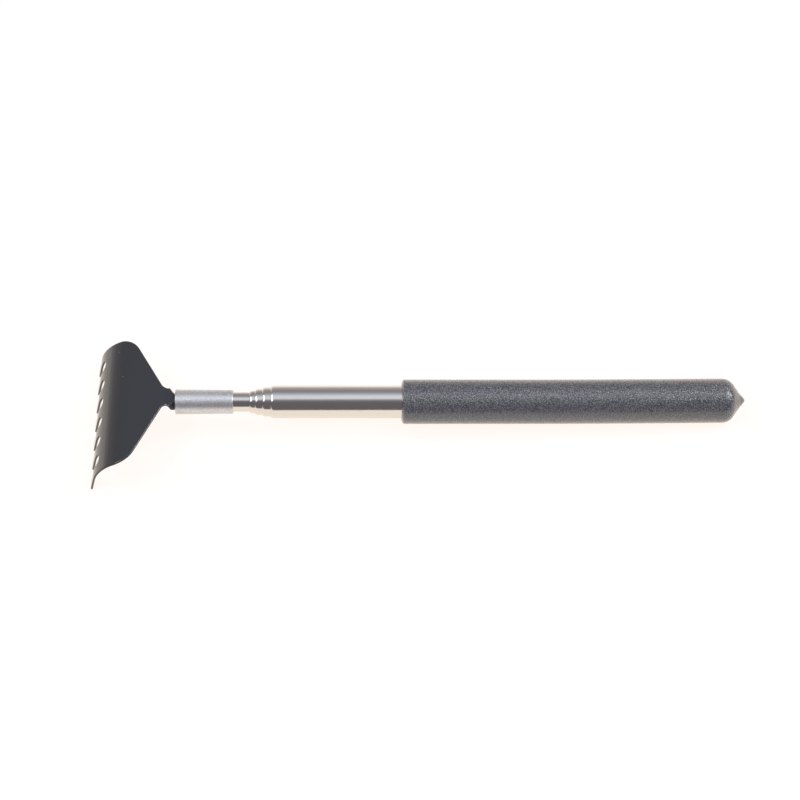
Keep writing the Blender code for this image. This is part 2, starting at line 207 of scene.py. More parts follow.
@dataclass(frozen=True)
class GlossBlackPaint(Finish):
    """Stoved black enamel: thin and glossy, with a slight orange peel and a few specks."""

    peel_mm: float = 1.6
    peel_depth_mm: float = 0.002
    speck_spacing_mm: float = 1.9
    speck_colour: str = "8A8987"
    speck_radius: float = 0.06
    speck_share: float = 0.14
    roughness_spread: float = 0.03

    def dress(self, tree: NodeTree, shader: Node, place: Socket) -> None:
        """Adds the orange peel, the specks of dust and a slightly uneven gloss.

        Args:
            tree: the material's node tree.
            shader: its Principled shader.
            place: the piece's Object coordinates.
        """
        peel = add_node(
            tree, "TexNoise", {"Vector": place, "Scale": 1 / (self.peel_mm * MM), "Detail": 3.0}
        )
        bump = add_node(tree, "Bump", {"Height": peel, "Distance": self.peel_depth_mm * MM})
        specks = add_node(
            tree, "TexVoronoi", {"Vector": place, "Scale": 1 / (self.speck_spacing_mm * MM)}
        )
        near = add_node(tree, "Math", {0: specks, 1: self.speck_radius}, operation="LESS_THAN")
        chance = add_node(tree, "SeparateColor", {"Color": specks.outputs["Color"]})
        chosen = add_node(
            tree, "Math", {0: chance.outputs["Red"], 1: self.speck_share}, operation="LESS_THAN"
        )
        speck = add_node(tree, "Math", {0: near, 1: chosen}, operation="MULTIPLY")
        colour = add_node(
            tree,
            "Mix",
            {"Factor": speck, "A": linear(self.colour), "B": linear(self.speck_colour)},
            data_type="RGBA",
        )
        gloss = add_node(tree, "MapRange", {"Value": peel, **self.around(self.roughness_spread)})
        feed(tree, shader, {"Base Color": colour, "Roughness": gloss, "Normal": bump})


@dataclass(frozen=True)
class BlastedAluminium(Finish):
    """Bead-blasted and clear anodised aluminium: a pale, evenly frosted sleeve with a fine mottle."""

    mottle_mm: float = 0.24
    mottle_colour: str = "B0B2B7"
    # Grit of about 0.1 mm is drawn this coarse so that it shows.
    grit_mm: float = 0.22
    grit_depth_mm: float = 0.02
    # The noise values between which the darker colour gives way to the paler one.
    mottle_range: tuple[float, float] = (0.35, 0.65)

    def dress(self, tree: NodeTree, shader: Node, place: Socket) -> None:
        """Adds the mottle of the blasting and the fine pits of its grit.

        Args:
            tree: the material's node tree.
            shader: its Principled shader.
            place: the piece's Object coordinates.
        """
        mottle = add_node(
            tree, "TexNoise", {"Vector": place, "Scale": 1 / (self.mottle_mm * MM), "Detail": 4.0}
        )
        low, high = self.mottle_range
        share = add_node(tree, "MapRange", {"Value": mottle, "From Min": low, "From Max": high})
        colour = add_node(
            tree,
            "Mix",
            {"Factor": share, "A": linear(self.mottle_colour), "B": linear(self.colour)},
            data_type="RGBA",
        )
        grit = add_node(tree, "TexNoise", {"Vector": place, "Scale": 1 / (self.grit_mm * MM)})
        bump = add_node(tree, "Bump", {"Height": grit, "Distance": self.grit_depth_mm * MM})
        feed(tree, shader, {"Base Color": colour, "Normal": bump})


@dataclass(frozen=True)
class PolishedStainless(Finish):
    """Drawn and polished stainless tube: mirror-like, with faint lines along it left by the drawing."""

    line_mm: float = 0.25
    line_length_mm: float = 18.0
    line_depth_mm: float = 0.0006
    roughness_spread: float = 0.04
    haze_mm: float = 1.3
    haze_spread: float = 0.03
    haze_range: tuple[float, float] = (0.3, 0.7)

    def dress(self, tree: NodeTree, shader: Node, place: Socket) -> None:
        """Adds the drawing lines, which run along the rod, and a haze of handling to the gloss.

        Args:
            tree: the material's node tree.
            shader: its Principled shader.
            place: the piece's Object coordinates.
        """
        scale = (self.line_mm / self.line_length_mm, 1.0, 1.0)
        along = add_node(tree, "Mapping", {"Vector": place, "Rotation": ROD.tilt, "Scale": scale})
        lines = add_node(tree, "TexNoise", {"Vector": along, "Scale": 1 / (self.line_mm * MM)})
        gloss = add_node(tree, "MapRange", {"Value": lines, **self.around(self.roughness_spread)})
        haze = add_node(
            tree, "TexNoise", {"Vector": place, "Scale": 1 / (self.haze_mm * MM), "Detail": 3.0}
        )
        low, high = self.haze_range
        hazed = add_node(
            tree,
            "MapRange",
            {
                "Value": haze,
                "From Min": low,
                "From Max": high,
                "To Min": -self.haze_spread,
                "To Max": self.haze_spread,
            },
        )
        total = add_node(tree, "Math", {0: gloss, 1: hazed})
        bump = add_node(tree, "Bump", {"Height": lines, "Distance": self.line_depth_mm * MM})
        feed(tree, shader, {"Roughness": total, "Normal": bump})


@dataclass(frozen=True)
class GrainedVinyl(Finish):
    """Dip-moulded soft PVC with a leather grain: painted shade darkens its furrows and pores, and its
    pebbles are glossy.
    """

    # Painted shade: the grain's furrows and pores are darkened towards this colour.
    furrow_shade_colour: str = "494A52"
    # Real pores of about 0.1 mm are drawn this coarse so that they show.
    fine_grain_mm: float = 0.34
    fine_depth_mm: float = 0.055
    # The fine pores' share in the painted shade of the grain.
    pore_shade_share: float = 0.88
    # A fine grain is at its full height up to the first distance from its middle, in grains, and
    # down in the pore at the second.
    fine_reach: tuple[float, float] = (0.1, 0.62)
    # A thin film of plasticiser gives the pebbles their glint.
    film: float = 0.55
    film_roughness: float = 0.1
    grain_attribute: str = "grain"

    def dress(self, tree: NodeTree, shader: Node, place: Socket) -> None:
        """Paints shade into the furrows of the modelled grain and the pores of a finer one, and bumps
        the finer one.

        Args:
            tree: the material's node tree.
            shader: its Principled shader.
            place: the piece's Object coordinates.
        """
        grain = add_node(tree, "Attribute", {}, attribute_name=self.grain_attribute)
        fine = add_node(tree, "TexVoronoi", {"Vector": place, "Scale": 1 / (self.fine_grain_mm * MM)})
        near, far = self.fine_reach
        pores = add_node(
            tree,
            "MapRange",
            {"Value": fine, "From Min": near, "From Max": far, "To Min": 1.0, "To Max": 0.0},
            interpolation_type="SMOOTHSTEP",
        )
        height = add_node(
            tree,
            "Mix",
            {"Factor": self.pore_shade_share, "A": grain.outputs["Fac"], "B": pores},
            data_type="FLOAT",
        )
        # Painted shade: the colour darkens towards the furrow colour where the grain and its pores are
        # low.
        colour = add_node(
            tree,
            "Mix",
            {"Factor": height, "A": linear(self.furrow_shade_colour), "B": linear(self.colour)},
            data_type="RGBA",
        )
        bump = add_node(tree, "Bump", {"Height": pores, "Distance": self.fine_depth_mm * MM})
        feed(tree, shader, {"Base Color": colour, "Normal": bump, "Coat Normal": bump})
        feed(tree, shader, {"Coat Weight": self.film, "Coat Roughness": self.film_roughness})


@dataclass(frozen=True)
class TurnedMetal(Finish):
    """A lathe-turned part: fine rings of the tool round the rod's axis."""

    ring_mm: float = 0.12
    ring_depth_mm: float = 0.003
    # How fast the pattern changes across the rod, as a share of how fast it does along it.
    ring_stretch: float = 0.02

    def dress(self, tree: NodeTree, shader: Node, place: Socket) -> None:
        """Adds the rings, as a pattern that hardly changes but along the rod.

        Args:
            tree: the material's node tree.
            shader: its Principled shader.
            place: the piece's Object coordinates.
        """
        scale = (1.0, self.ring_stretch, self.ring_stretch)
        along = add_node(tree, "Mapping", {"Vector": place, "Rotation": ROD.tilt, "Scale": scale})
        rings = add_node(
            tree, "TexNoise", {"Vector": along, "Scale": 1 / (self.ring_mm * MM), "Detail": 1.0}
        )
        bump = add_node(tree, "Bump", {"Height": rings, "Distance": self.ring_depth_mm * MM})
        feed(tree, shader, {"Normal": bump})


@dataclass(frozen=True)
class MouldedPlastic(Finish):
    """Injection-moulded plastic with a spark-eroded mould's fine matt texture."""

    texture_mm: float = 0.2
    texture_depth_mm: float = 0.01

    def dress(self, tree: NodeTree, shader: Node, place: Socket) -> None:
        """Adds the mould's texture.

        Args:
            tree: the material's node tree.
            shader: its Principled shader.
            place: the piece's Object coordinates.
        """
        texture = add_node(tree, "TexNoise", {"Vector": place, "Scale": 1 / (self.texture_mm * MM)})
        bump = add_node(tree, "Bump", {"Height": texture, "Distance": self.texture_depth_mm * MM})
        feed(tree, shader, {"Normal": bump})


class Finishes(Enum):
    """The finishes of the tool, by the record's material slots."""

    black_paint = GlossBlackPaint("black_stoved_enamel", "37383D", 0.11, ior=1.58)
    frosted_aluminium = BlastedAluminium("blasted_aluminium", "DFE0E4", 0.42, metallic=0.8)
    polished_steel = PolishedStainless("polished_stainless", "CCCAC7", 0.15, metallic=1.0)
    grained_rubber = GrainedVinyl("leather_grain_vinyl", "85868E", 0.16, ior=1.54)
    brass = TurnedMetal("turned_brass", "C9A35B", 0.28, metallic=1.0)
    bronze = TurnedMetal("spring_bronze", "B07A4E", 0.32, metallic=1.0)
    plug_plastic = MouldedPlastic("moulded_polypropylene", "262729", 0.5)


# The rod's place in the model, and how pieces are put there


class Rod:
    """The axis of the tubes, as the model's joints and nodes give it."""

    def __init__(self) -> None:
        """Reads the axis from the first slide and the origin from the outer tube's mouth."""
        slide = next(joint for joint in frame["joints"] if joint["type"] == "slide")
        twist = next(joint for joint in frame["joints"] if joint["type"] == "hinge")
        ahead = Vector(slide["axis"]).normalized()
        across = Vector((0, 1, 0))
        up = across.cross(ahead)
        turn = Matrix((up, across, ahead)).transposed().to_4x4()
        self.tilt: Triple = (0.0, math.asin(ahead.z), 0.0)
        self.matrix: Matrix = Matrix.Translation(Vector(twist["pos_m"])) @ turn
        self.matrix = self.matrix @ Matrix.Translation((0, 0, self.span("outer_tube").front))

    def span(self, node: str) -> "Span":
        """Measures a node in the rod frame.

        Args:
            node: a node's name.

        Returns:
            Its ends along the rod and its largest distance from the axis.
        """
        to_rod = self.matrix.inverted()
        points = [to_rod @ vert.co for vert in frame["nodes"][node].data.vertices]
        heights = [point.z for point in points]
        return Span(min(heights), max(heights), max(point.xy.length for point in points))


@dataclass(frozen=True)
class Span:
    """A turned node's ends along the rod and its outer radius."""

    rear: float
    front: float
    radius: float


ROD = Rod()


class Profile:
    """Half a section of a turned piece, as points (r, z) that are joined in turn."""

    # The longest step of a round stretch, in degrees, and the fewest steps that it has.
    ARC_STEP: float = 9.0
    FEWEST_STEPS: int = 3

    def __init__(self) -> None:
        """Starts with no points."""
        self.points: list[tuple[float, float]] = []

    def to(self, radius: float, height: float) -> "Profile":
        """Adds a point and returns the profile."""
        self.points.append((radius, height))
        return self

    def arc(self, centre: tuple[float, float], radius: float, start: float, end: float) -> "Profile":
        """Adds a round stretch.

        Args:
            centre: the arc's centre (r, z).
            radius: the arc's radius.
            start: its first angle, in degrees from +r towards +z.
            end: its last angle.

        Returns:
            The profile.
        """
        steps = max(self.FEWEST_STEPS, math.ceil(abs(end - start) / self.ARC_STEP))
        for i in range(steps + 1):
            angle = (start + (end - start) * i / steps) * DEGREE
            self.to(centre[0] + radius * math.cos(angle), centre[1] + radius * math.sin(angle))
        return self

    def turned(self, closed: bool, segments: int, cut_every: float = 0.0, whole: int = 0) -> Shape:
        """Turns the profile round the rod's axis.

        Args:
            closed: whether the last point joins the first, which makes a ring.
            segments: how many steps make the full turn.
            cut_every: longest stretch of the profile left uncut, or 0 to cut none.
            whole: how many of its first stretches stay uncut all the same.

        Returns:
            The turned shape, with its faces pointing out.
        """
        shape = bmesh.new()
        verts = [shape.verts.new((r, 0, z)) for r, z in self.points]
        pairs = list(zip(verts, verts[1:])) + ([(verts[-1], verts[0])] if closed else [])
        edges = [shape.edges.new(pair) for pair in pairs]
        for edge in edges[whole:] if cut_every else ():
            cuts = math.ceil(edge.calc_length() / cut_every) - 1
            if cuts > 0:
                bmesh.ops.subdivide_edges(shape, edges=[edge], cuts=cuts)
        section = shape.verts[:] + shape.edges[:]
        centre, axis = (0, 0, 0), (0, 0, 1)
        bmesh.ops.spin(
            shape, geom=section, cent=centre, axis=axis, angle=FULL_TURN, steps=segments, use_merge=True
        )
        bmesh.ops.remove_doubles(shape, verts=shape.verts[:], dist=WELD)
        bmesh.ops.recalc_face_normals(shape, faces=shape.faces[:])
        return shape


def finish_piece(name: str, shape: Shape, finish: Finishes, body: str, *nodes: str) -> Object:
    """Lays a shape from the rod frame in the model and gives it its finish and its body.

    Args:
        name: the piece's name.
        shape: its shape in the rod frame, which is used up.
        finish: the finish, whose name is the record's material slot.
        body: the body that it moves with.
        *nodes: the nodes that it replaces.

    Returns:
        The finished piece.
    """
    bmesh.ops.transform(shape, matrix=ROD.matrix, verts=shape.verts[:])
    mesh = bpy.data.meshes.new(name)
    shape.to_mesh(mesh)
    shape.free()
    mesh.materials.append(finish.value.material())
    mesh.shade_smooth()
    piece = bpy.data.objects.new(name, mesh)
    bpy.context.scene.collection.objects.link(piece)
    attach(piece, body)
    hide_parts(*nodes)
    log.info("%s: %d faces, rides on %s", name, len(mesh.polygons), body)
    return piece


# Telescope


@dataclass
class SlidingTube:
    """A drawn tube whose mouth is rolled in round the next smaller one."""

    node: str
    body: str
    inside: str | None
    mouth_forward: float = 0.0
    wall: float = 0.3 * MM
    running_gap: float = 0.05 * MM
    roll_length: float = 1.25 * MM
    roll_steps: int = 12
    lip_length: float = 0.9 * MM
    lip_taper: float = 0.15 * MM
    rear_edge: float = 0.06 * MM
    segments: int = 128

    def profile(self) -> Profile:
        """Draws the tube's section, with a rolled mouth where another tube comes out of it.

        Returns:
            The section.
        """
        span = ROD.span(self.node)
        front = span.front + self.mouth_forward
        bore = span.radius - self.wall
        profile = Profile()
        if self.inside:
            opening = ROD.span(self.inside).radius + self.running_gap
            roll = span.radius - opening
            for i in range(self.roll_steps + 1):
                angle = math.pi / 2 * (1 - i / self.roll_steps)
                height = front - self.roll_length * (1 - math.sin(angle))
                profile.to(opening + roll * math.cos(angle), height)
        else:
            profile.to(bore, front).to(span.radius, front)
        edge = self.rear_edge
        profile.arc((span.radius - edge, span.rear + edge), edge, 0, -90)
        profile.to(bore, span.rear)
        if self.inside:
            profile.to(bore, front - self.lip_length - self.lip_taper)
            profile.to(opening, front - self.lip_length)
        return profile

    def build(self) -> Object:
        """Turns and finishes the tube.

        Returns:
            The tube.
        """
        shape = self.profile().turned(closed=True, segments=self.segments)
        piece = finish_piece(f"{self.node}_skin", shape, Finishes.polished_steel, self.body, self.node)
        piece.data.set_sharp_from_angle(angle=CRISP_EDGE)
        return piece


@dataclass
class Ferrule:
    """The frosted sleeve that joins the claw's tang to the inner tube."""

    flare: float = 0.12 * MM
    edge: float = 0.22 * MM
    tang_bore: float = 2.25 * MM
    tube_bore: float = 3.05 * MM
    tang_depth: float = 8.3 * MM
    segments: int = 160

    def build(self) -> Object:
        """Turns and finishes the ferrule.

        Returns:
            The ferrule.
        """
        span = ROD.span("ferrule")
        front = span.radius
        rear = front - self.flare
        seat = span.front - self.tang_depth
        profile = Profile()
        profile.arc((front - self.edge, span.front - self.edge), self.edge, 90, 0)
        profile.arc((rear - self.edge, span.rear + self.edge), self.edge, 0, -90)
        profile.to(self.tube_bore, span.rear).to(self.tube_bore, seat)
        profile.to(self.tang_bore, seat).to(self.tang_bore, span.front)
        shape = profile.turned(closed=True, segments=self.segments)
        piece = finish_piece("ferrule_skin", shape, Finishes.frosted_aluminium, "claw_head", "ferrule")
        piece.data.set_sharp_from_angle(angle=CRISP_EDGE)
        return piece


# Grip


@dataclass
class Grip:
    """The soft sleeve with its leather grain and its closed, pointed rear end."""

    bore: float = 5.05 * MM
    end_wall: float = 9.7 * MM
    # The front edge is rounded over more across the wall than along the sleeve.
    front_rounding: float = 0.7 * MM
    front_rim: float = 1.35 * MM
    # 1 would make the edge a chamfer and 2 a quarter of an ellipse.
    front_fullness: float = 1.35
    front_steps: int = 10
    shoulder_radius: float = 3.95 * MM
    cone_angle: float = 54.5
    cone_apex: float = 0.1 * MM
    # Radius and distance from the tip, along the small nub that the mould's vent leaves.
    nub_mm: tuple[tuple[float, float], ...] = (
        (2.15, 1.6),
        (1.86, 1.33),
        (1.58, 1.06),
        (1.25, 0.77),
        (0.85, 0.45),
        (0.45, 0.15),
        (0.2, 0.03),
        (0.0, 0.0),
    )
    front_swell: float = 0.5 * MM
    skin_sink: float = 0.05 * MM
    bow: float = 0.42 * MM
    bow_length: float = 62.0 * MM
    bow_power: float = 1.5
    pebble: float = 0.5 * MM
    grain_depth: float = 0.026 * MM
    warp: float = 0.5
    warp_scale: float = 0.7
    # Blender draws the offsets of its noise vectors by the clock unless they are seeded.
    warp_seed: int = 1795331971
    # How steeply a pebble rises from its furrow, and how high its crown is and varies.
    bank_slope: float = 2.4
    crown: float = 0.55
    crown_spread: float = 0.45
    crown_scale: float = 3.1
    spacing: float = 0.205 * MM
    segments: int = 180
    bore_stretches: int = 2

    def profile(self) -> Profile:
        """Draws the section, from the end of the bore round the front to the tip.

        Returns:
            The section.
        """
        span = ROD.span("grip")
        outer = span.radius - self.skin_sink
        front = span.front + self.front_swell
        rounding = self.front_rounding
        power = 2 / self.front_fullness
        cone = self.cone_angle * DEGREE
        shoulder_r = outer - self.shoulder_radius
        cone_r = shoulder_r + self.shoulder_radius * math.cos(cone)
        cone_z = span.rear + self.cone_apex + cone_r / math.tan(cone)
        shoulder = (shoulder_r, cone_z + self.shoulder_radius * math.sin(cone))
        bore_end = span.rear + self.end_wall
        profile = Profile()
        profile.to(0, bore_end).to(self.bore, bore_end).to(self.bore, front)
        for step in range(self.front_steps + 1):
            turn = math.pi / 2 * step / self.front_steps
            inset = self.front_rim * (1 - math.sin(turn) ** power)
            profile.to(outer - inset, front - rounding * (1 - max(0.0, math.cos(turn)) ** power))
        profile.arc(shoulder, self.shoulder_radius, 0, -self.cone_angle)
        for radius, from_tip in self.nub_mm:
            profile.to(radius * MM, span.rear + from_tip * MM)
        return profile

    def grain_at(self, point: Vector) -> float:
        """Height of the leather grain at a point, from 0 in a furrow to 1 on top of a pebble.

        Args:
            point: a place on the sleeve, in the rod frame.

        Returns:
            The height.
        """
        place = point / self.pebble
        place = place + self.warp * noise.noise_vector(place * self.warp_scale)
        distances, cells = noise.voronoi(place)
        bank = min(1.0, (distances[1] - distances[0]) * self.bank_slope)
        crown = self.crown + self.crown_spread * noise.noise(cells[0] * self.crown_scale)
        return bank * bank * (3 - 2 * bank) * crown

    def grained(self, shape: Shape) -> Shape:
        """Sinks the grain into the sleeve's outer skin and keeps its height as an attribute.

        Args:
            shape: the turned sleeve.

        Returns:
            The same shape.
        """
        noise.seed_set(self.warp_seed)
        layer = shape.verts.layers.float.new(GrainedVinyl.grain_attribute)
        shape.normal_update()
        inner = self.bore + WELD
        bore_end = ROD.span("grip").rear + self.end_wall
        normals = {vert: vert.normal.copy() for vert in shape.verts}
        for vert, normal in normals.items():
            if vert.co.xy.length < inner and vert.co.z > bore_end - WELD:
                continue
            height = self.grain_at(vert.co)
            vert[layer] = height
            vert.co -= normal * self.grain_depth * (1 - height)
        return shape

    def bowed(self, shape: Shape) -> Shape:
        """Bends the hollow rear of the sleeve a little to one side, as a soft one sets.

        Args:
            shape: the sleeve.

        Returns:
            The same shape.
        """
        start = ROD.span("grip").rear + self.bow_length
        for vert in shape.verts:
            vert.co.y += self.bow * max(0.0, (start - vert.co.z) / self.bow_length) ** self.bow_power
        return shape

    def build(self) -> Object:
        """Turns, grains, bows and finishes the grip.

        Returns:
            The grip.
        """
        turned = self.profile().turned(
            closed=False, segments=self.segments, cut_every=self.spacing, whole=self.bore_stretches
        )
        shape = self.bowed(self.grained(turned))
        return finish_piece("grip_skin", shape, Finishes.grained_rubber, "handle", "grip")


# Claw


@dataclass
class Claw:
    """A steel blank with seven tines, rolled into a tang at its neck and bent down at its tips."""

    sheet: float = 0.7 * MM
    edge_rounding: float = 0.34 * MM
    edge_steps: int = 4
    tang_depth: float = 8.0 * MM
    tang_radius: float = 2.2 * MM
    tang_wrap: float = 135.0
    tang_corner: float = 0.8 * MM
    neck_half_width: float = 3.15 * MM
    neck_length: float = 2.4 * MM
    neck_fillet: float = 2.0 * MM
    flank_angle: float = 62.0
    corner_radius: float = 7.2 * MM
    tine_count: int = 7
    tine_width: float = 3.8 * MM
    slot_width: float = 3.05 * MM
    slot_length: float = 10.0 * MM
    tine_corner: float = 0.8 * MM
    joggle_start: float = 0.2 * MM
    joggle_angle: float = -18.0
    joggle_inner_radius: float = 2.0 * MM
    joggle_run: float = 2.1 * MM
    joggle_outer_radius: float = 3.0 * MM
    plate_angle: float = 9.5
    plate_length: float = 9.2 * MM
    bend_radius: float = 13.0 * MM
    tine_angle: float = 78.0
    tine_straight: float = 5.3 * MM
    forming_step: float = 2.0
    forming_probe: float = 0.01 * MM
    roll_step: float = 0.2 * MM
    neck_steps: int = 12
    corner_steps: int = 10
    # A unit direction counts as square to the sheet when less of it than this lies in the sheet.
    least_level: float = 1e-4

    @property
    def roll_radius(self) -> float:
        """Radius of the rolled tang at mid-sheet."""
        return self.tang_radius - self.sheet / 2

    @property
    def tang_half_width(self) -> float:
        """Half the width of the blank's tang before it is rolled."""
        return self.tang_wrap * DEGREE * self.roll_radius

    @property
    def half_width(self) -> float:
        """Half the width over the tines."""
        return (self.tine_count * self.tine_width + (self.tine_count - 1) * self.slot_width) / 2

    def path(self) -> list[Triple]:
        """Follows the side view from the tang's end to the tips.

        Returns:
            Its stretches: length, first and last angle below the rod, in degrees.
        """
        rise, plate, tine = self.joggle_angle, self.plate_angle, self.tine_angle
        return [
            (self.tang_depth + self.joggle_start, 0, 0),
            (self.joggle_inner_radius * abs(rise) * DEGREE, 0, rise),
            (self.joggle_run, rise, rise),
            (self.joggle_outer_radius * (plate - rise) * DEGREE, rise, plate),
            (self.plate_length, plate, plate),
            (self.bend_radius * (tine - plate) * DEGREE, plate, tine),
            (self.tine_straight, tine, tine),
        ]

    def arc(self, centre: tuple[float, float], radius: float, start: float, end: float) -> list[Vector]:
        """Points of a round corner of the blank.

        Args:
            centre: the corner's centre (u, v).
            radius: its radius.
            start: its first angle, in degrees from +u towards +v.
            end: its last angle.

        Returns:
            The points, both ends included.
        """
        steps = self.corner_steps
        angles = [(start + (end - start) * i / steps) * DEGREE for i in range(steps + 1)]
        return [
            Vector((centre[0] + radius * math.cos(angle), centre[1] + radius * math.sin(angle), 0))
            for angle in angles
        ]

    def tines(self) -> Iterator[Vector]:
        """Draws the outline of the tines and the slots, from the side at v < 0 to the other.

        Yields:
            Its points.
        """
        tip = sum(length for length, _, _ in self.path()) - self.tang_depth
        corner_u = tip - self.tine_corner
        root_u = tip - self.slot_length + self.slot_width / 2
        for tine in range(self.tine_count):
            low = tine * (self.tine_width + self.slot_width) - self.half_width
            high = low + self.tine_width
            yield from self.arc((corner_u, low + self.tine_corner), self.tine_corner, -90, 0)
            yield from self.arc((corner_u, high - self.tine_corner), self.tine_corner, 0, 90)
            if tine < self.tine_count - 1:
                yield from self.arc((root_u, high + self.slot_width / 2), self.slot_width / 2, 270, 90)

    def flank(self) -> list[Vector]:
        """Draws the outline at v > 0 from the last tine's root to the end of the tang.

        Returns:
            Its points.
        """
        flank = self.flank_angle
        turn = math.tan(flank * DEGREE / 2)
        neck_u = self.neck_length + self.neck_fillet * turn
        corner_u = neck_u + (self.half_width - self.neck_half_width) / math.tan(flank * DEGREE)
        corner = (corner_u + self.corner_radius * turn, self.half_width - self.corner_radius)
        neck = (self.neck_length, self.neck_half_width + self.neck_fillet)
        tang = (self.tang_corner - self.tang_depth, self.tang_half_width - self.tang_corner)
        return [
            *self.arc(corner, self.corner_radius, 90, 90 + flank),
            *self.arc(neck, self.neck_fillet, flank - 90, -90),
            Vector((0, self.tang_half_width, 0)),
            *self.arc(tang, self.tang_corner, 90, 180),
        ]

    def blank(self) -> Shape:
        """Makes the flat blank, as a plate with rounded edges.

        Returns:
            The blank, centred on mid-sheet.
        """
        side = self.flank()
        other = [Vector((p.x, -p.y, 0)) for p in reversed(side)]
        shape = bmesh.new()
        verts = [shape.verts.new(p) for p in [*self.tines(), *side, *other]]
        for pair in zip(verts, verts[1:] + verts[:1]):
            shape.edges.new(pair)
        bmesh.ops.remove_doubles(shape, verts=verts, dist=WELD)
        bmesh.ops.edgeloop_fill(shape, edges=shape.edges[:])
        grown = bmesh.ops.extrude_face_region(shape, geom=shape.faces[:])
        top = [item for item in grown["geom"] if isinstance(item, bmesh.types.BMVert)]
        bmesh.ops.translate(shape, verts=top, vec=(0, 0, self.sheet))
        bmesh.ops.translate(shape, verts=shape.verts[:], vec=(0, 0, -self.sheet / 2))
        bmesh.ops.recalc_face_normals(shape, faces=shape.faces[:])
        rim = [edge for edge in shape.edges if edge.verts[0].co.z * edge.verts[1].co.z > 0]
        bmesh.ops.bevel(
            shape,
            geom=rim,
            offset=self.edge_rounding,
            segments=self.edge_steps,
            profile=0.5,
            affect="EDGES",
            clamp_overlap=True,
            material=-1,
        )
        return shape

    def stations(self) -> list[float]:
        """Finds where along the blank it is cut so that it can bend.

        Returns:
            The places, from the tang to the tips.
        """
        found = {self.neck_length * i / self.neck_steps for i in range(self.neck_steps + 1)}
        start = -self.tang_depth
        for length, first, last in self.path():
            count = max(1, round(abs(last - first) / self.forming_step))
            found |= {start + length * i / count for i in range(count)}
            start += length
        return sorted(u for u in found if u > -self.tang_depth)

    def cut_for_forming(self, shape: Shape) -> Shape:
        """Cuts the blank where it bends, where it is rolled and along the creases of its neck.

        Args:
            shape: the flat blank.

        Returns:
            The same shape.
        """
        for u in self.stations():
            self.cut(shape, (u, 0, 0), (1, 0, 0), whole=True)
        count = math.floor(self.tang_half_width / self.roll_step)
        for i in range(-count, count + 1):
            self.cut(shape, (0, i * self.roll_step, 0), (0, 1, 0), whole=False)
        for side in (1, -1):
            self.cut(shape, (0, 0, 0), (self.neck_half_width, -side * self.neck_length, 0), whole=False)
        return shape

    def cut(self, shape: Shape, point: Triple, normal: Triple, whole: bool) -> None:
        """Cuts the blank, or only its tang and neck, along a plane.

        Args:
            shape: the blank.
            point: a point on the plane.
            normal: the plane's normal.
            whole: whether the cut runs through the whole blank.
        """
        faces = [f for f in shape.faces if whole or f.calc_center_median().x < self.neck_length]
        edges = {edge for face in faces for edge in face.edges}
        verts = {vert for face in faces for vert in face.verts}
        region = [*verts, *edges, *faces]
        bmesh.ops.bisect_plane(shape, geom=region, plane_co=point, plane_no=normal, dist=WELD)

    def middle(self, u: float) -> Triple:
        """Follows the side view along mid-sheet.

        Args:
            u: the distance from the ferrule's mouth.

        Returns:
            The place (z, x) there and the angle, in radians.
        """
        z, x, left = 0.0, self.roll_radius, u + self.tang_depth
        angle = 0.0
        for length, first, last in self.path():
            run = min(left, length)
            start, turn = first * DEGREE, (last - first) * DEGREE * run / length
            angle = start + turn
            if turn:
                radius = length / ((last - first) * DEGREE)
                z += radius * (math.sin(angle) - math.sin(start))
                x += radius * (math.cos(angle) - math.cos(start))
            else:
                z += run * math.cos(start)
                x -= run * math.sin(start)
            left -= run
            if left <= 0:
                break
        return z + left * math.cos(angle), x - left * math.sin(angle), angle

    def formed(self, point: Vector) -> Vector:
        """Moves a point of the blank to where forming takes it.

        Args:
            point: u along the blank, v across it and t above mid-sheet.

        Returns:
            The point in the rod frame, with the ferrule's mouth at z = 0.
        """
        u, v, t = point
        z, x, angle = self.middle(u)
        flat = math.inf
        if u < self.neck_length:
            flat = max(0.0, u * self.neck_half_width / self.neck_length)
        flat = min(abs(v), flat)
        roll = (abs(v) - flat) / self.roll_radius
        across = flat + (self.roll_radius + t) * math.sin(roll)
        rise = (self.roll_radius + t) * math.cos(roll) - self.roll_radius
        ahead = z + rise * math.sin(angle) - self.tang_depth
        return Vector((x + rise * math.cos(angle), math.copysign(across, v), ahead))

    def blank_normal(self, vert: bmesh.types.BMVert) -> Vector:
        """Finds which way the blank's surface faces: flat above and below, round along its edges.

        Args:
            vert: a point of the blank.

        Returns:
            The direction.
        """
        above = (abs(vert.co.z) - self.sheet / 2 + self.edge_rounding) / self.edge_rounding
        lift = math.copysign(min(max(above, 0.0), 1.0), vert.co.z)
        side = Vector((vert.normal.x, vert.normal.y, 0))
        if side.length < self.least_level:
            return Vector((0, 0, lift))
        return side.normalized() * math.sqrt(1 - lift * lift) + Vector((0, 0, lift))

    def formed_normal(self, point: Vector, normal: Vector) -> Vector:
        """Turns a direction of the blank's surface the way that forming turns it.

        Args:
            point: a point of the blank.
            normal: the direction there, before forming.

        Returns:
            The direction after forming.
        """
        step = self.forming_probe
        first = normal.orthogonal().normalized()
        second = normal.cross(first).normalized()
        ahead, across = (
            self.formed(point + tangent * step) - self.formed(point - tangent * step)
            for tangent in (first, second)
        )
        # Forming swaps the blank's axes, so the cross product is taken the other way round.
        return across.cross(ahead).normalized()

    def build(self) -> Object:
        """Cuts, forms and finishes the claw.

        Returns:
            The claw.
        """
        shape = self.cut_for_forming(self.blank())
        shape.normal_update()
        mouth = ROD.span("ferrule").front
        turn = ROD.matrix.to_3x3()
        normals = [turn @ self.formed_normal(vert.co, self.blank_normal(vert)) for vert in shape.verts]
        for vert in shape.verts:
            vert.co = self.formed(vert.co) + Vector((0, 0, mouth))
        # The same swap turns its faces inwards.
        bmesh.ops.reverse_faces(shape, faces=shape.faces[:])
        claw = finish_piece("claw_skin", shape, Finishes.black_paint, "claw_head", "claw")
        claw.data.normals_split_custom_set_from_vertices(normals)
        return claw


# Pieces inside the tubes


